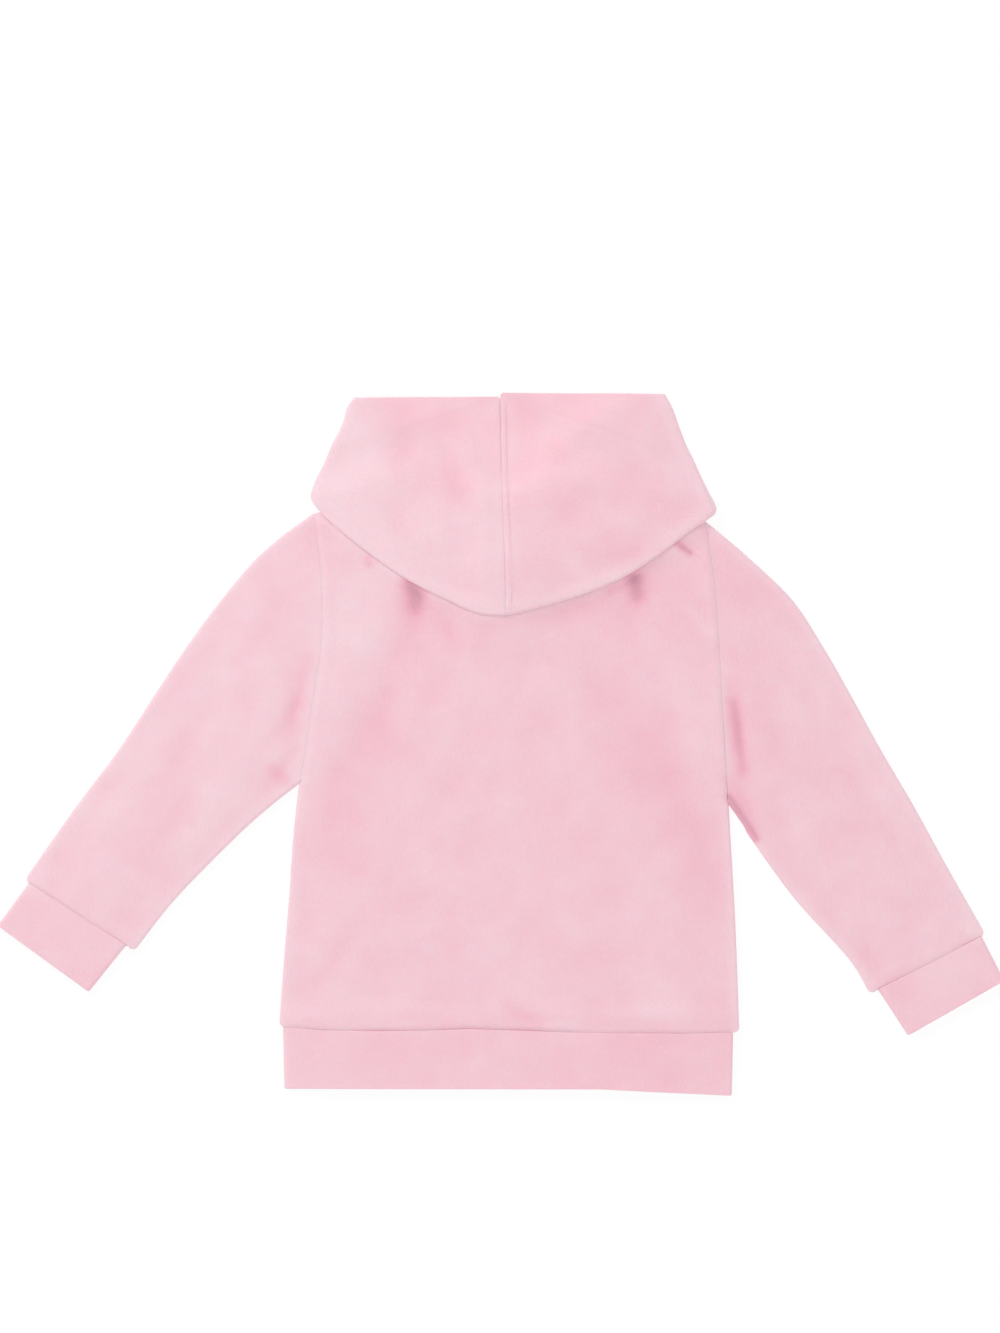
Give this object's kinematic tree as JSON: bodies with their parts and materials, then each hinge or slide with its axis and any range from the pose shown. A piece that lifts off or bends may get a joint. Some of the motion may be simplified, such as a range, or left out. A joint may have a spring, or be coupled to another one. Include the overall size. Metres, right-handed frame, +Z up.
{
  "type": "zip-up hooded jacket",
  "caption": "Small child's hooded fleece jacket with a front zip, laid flat on its front with the hood folded back over the shoulders.",
  "frame": {"origin": "middle of the footprint, on the surface the jacket lies on", "axes": "+Z up out of the back, +Y from the hem to the hood, +X across from cuff to cuff"},
  "size_m": [0.735, 0.514, 0.0172],
  "materials": {
    "fleece": "brushed fleece",
    "band_fleece": "brushed fleece, doubled",
    "tape": "woven",
    "metal": "satin"
  },
  "bodies": {
    "jacket": {"back": "fleece", "hem_band": "band_fleece", "front_left": "fleece", "sleeve_left": "fleece", "cuff_left": "band_fleece", "hood_left": "fleece", "zip_tape_left": "tape", "front_right": "fleece", "sleeve_right": "fleece", "cuff_right": "band_fleece", "hood_right": "fleece", "zip_tape_right": "tape", "zip_slider": "metal"},
    "pull": {"zip_pull": "metal"}
  },
  "joints": [
    {"name": "pull_swing", "type": "hinge", "parent": "jacket", "child": "pull", "pos_m": [0.00697, 0.11851, 0.0018], "axis": [1, 0, 0], "range_deg": [0, 160]}
  ]
}
